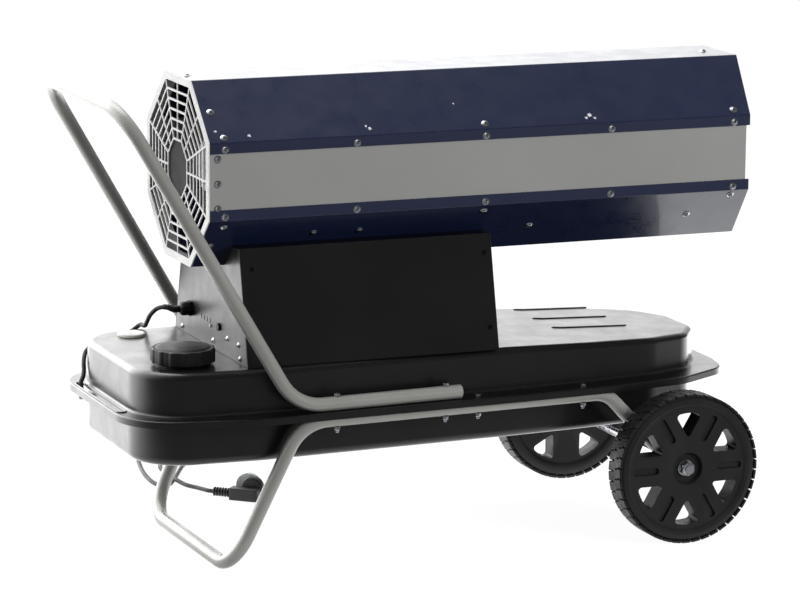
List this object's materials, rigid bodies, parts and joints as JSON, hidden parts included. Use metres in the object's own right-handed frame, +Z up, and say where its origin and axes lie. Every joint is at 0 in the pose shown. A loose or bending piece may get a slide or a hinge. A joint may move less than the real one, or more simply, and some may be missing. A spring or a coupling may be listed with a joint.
{
  "type": "forced air heater",
  "caption": "Wheeled diesel forced air heater: eight-sided barrel on a pedestal box over a flanged fuel tank, with push handle and mains cord.",
  "frame": {"origin": "on the ground under the middle of the heater, cord left out", "axes": "+X towards the hot air outlet and the wheels, +Z up, -Y towards the plain pedestal cover"},
  "size_m": [0.9979, 0.7792, 0.684],
  "materials": {
    "navy_paint": "satin navy enamel",
    "panel_grey": "matt warm grey",
    "grille_grey": "light grey enamel",
    "tube_grey": "silver grey enamel",
    "black_paint": "satin black enamel",
    "dark_blank": "matt black",
    "zinc": "bright zinc",
    "stainless": "heat resisting steel",
    "cast_aluminium": "cast",
    "brass": "turned",
    "copper": "drawn copper tube",
    "rubber": "matt black",
    "black_plastic": "moulded",
    "wheel_plastic": "blow moulded",
    "white_plastic": "moulded",
    "white_ceramic": "glazed",
    "red_plastic": "moulded",
    "board_green": "circuit board"
  },
  "bodies": {
    "frame": {"upper_shell": "navy_paint", "lower_shell": "navy_paint", "side_panel_near": "panel_grey", "side_panel_far": "panel_grey", "intake_grille": "grille_grey", "grille_centre_plate": "dark_blank", "outlet_plate": "navy_paint", "combustion_chamber": "stainless", "flame_diffuser": "stainless", "chamber_bracket_rear": "zinc", "chamber_bracket_front": "zinc", "burner_head": "zinc", "ignition_electrodes": "white_ceramic", "motor_body": "black_paint", "motor_bracket": "zinc", "air_pump": "cast_aluminium", "pedestal_left_plate": "black_paint", "pedestal_right_plate": "black_paint", "side_cover_near": "black_paint", "side_cover_far": "black_paint", "cable_gland": "black_plastic", "reset_switch": "black_plastic", "indicator_lamp": "white_plastic", "control_board": "board_green", "ignition_transformer": "dark_blank", "power_switch_frame": "black_plastic", "thermostat_body": "black_plastic", "tank_upper_shell": "black_paint", "tank_lower_shell": "black_paint", "filler_neck": "zinc", "filler_strainer": "white_plastic", "gauge_housing": "white_plastic", "suction_pipe": "brass", "fuel_line": "copper", "handle_tube": "tube_grey", "stand_tube": "tube_grey", "frame_bolt_near_1": "zinc", "frame_bolt_far_1": "zinc", "frame_bolt_near_2": "zinc", "frame_bolt_far_2": "zinc", "frame_bolt_near_3": "zinc", "frame_bolt_far_3": "zinc", "frame_bolt_near_4": "zinc", "frame_bolt_far_4": "zinc", "axle": "zinc", "axle_nut_near": "zinc", "axle_nut_far": "zinc", "mains_cord": "rubber", "mains_plug": "rubber"},
    "near_wheel": {"wheel_near": "wheel_plastic"},
    "far_wheel": {"wheel_far": "wheel_plastic"},
    "rotor": {"motor_shaft": "stainless", "fan": "cast_aluminium"},
    "cap_seal": {"cap_gasket": "rubber"},
    "cap": {"fuel_cap": "black_plastic"},
    "float": {"float_arm": "black_plastic"},
    "pointer": {"gauge_pointer": "red_plastic"},
    "rocker": {"power_switch_rocker": "black_plastic"},
    "knob": {"thermostat_knob": "black_plastic"},
    "button": {"reset_button": "black_plastic"}
  },
  "joints": [
    {"name": "near_wheel_spin", "type": "hinge", "parent": "frame", "child": "near_wheel", "pos_m": [0.351, -0.209, 0.11], "axis": [0, 1, 0], "continuous": true},
    {"name": "far_wheel_spin", "type": "hinge", "parent": "frame", "child": "far_wheel", "pos_m": [0.351, 0.209, 0.11], "axis": [0, 1, 0], "continuous": true},
    {"name": "fan_spin", "type": "hinge", "parent": "frame", "child": "rotor", "pos_m": [-0.12, 0, 0.552], "axis": [1, 0, 0], "continuous": true},
    {"name": "cap_rise", "type": "slide", "parent": "frame", "child": "cap_seal", "axis": [0, 0, 1], "range_m": [0, 0.008]},
    {"name": "cap_turn", "type": "hinge", "parent": "cap_seal", "child": "cap", "pos_m": [-0.373, -0.092, 0.3], "axis": [0, 0, 1], "range_deg": [0, 360]},
    {"name": "float_swing", "type": "hinge", "parent": "frame", "child": "float", "pos_m": [-0.38, 0.115, 0.259], "axis": [0, -1, 0], "range_deg": [0, 38]},
    {"name": "pointer_turn", "type": "hinge", "parent": "frame", "child": "pointer", "pos_m": [-0.38, 0.115, 0.293], "axis": [0, 0, 1], "range_deg": [0, 114]},
    {"name": "power_rocker", "type": "hinge", "parent": "frame", "child": "rocker", "pos_m": [-0.2, 0.13544, 0.38121], "axis": [1, 0, 0], "range_deg": [0, 18]},
    {"name": "thermostat_turn", "type": "hinge", "parent": "frame", "child": "knob", "pos_m": [-0.12, 0.13408, 0.38089], "axis": [0, -0.9738, -0.2274], "range_deg": [0, 270]},
    {"name": "reset_push", "type": "slide", "parent": "frame", "child": "button", "axis": [1, 0, 0], "range_m": [0, 0.0025], "stiffness_N_per_m": 400}
  ],
  "couplings": [
    {"joint": "cap_rise", "follows": "cap_turn", "m_per_rad": 0.001273},
    {"joint": "pointer_turn", "follows": "float_swing", "ratio": 3}
  ]
}
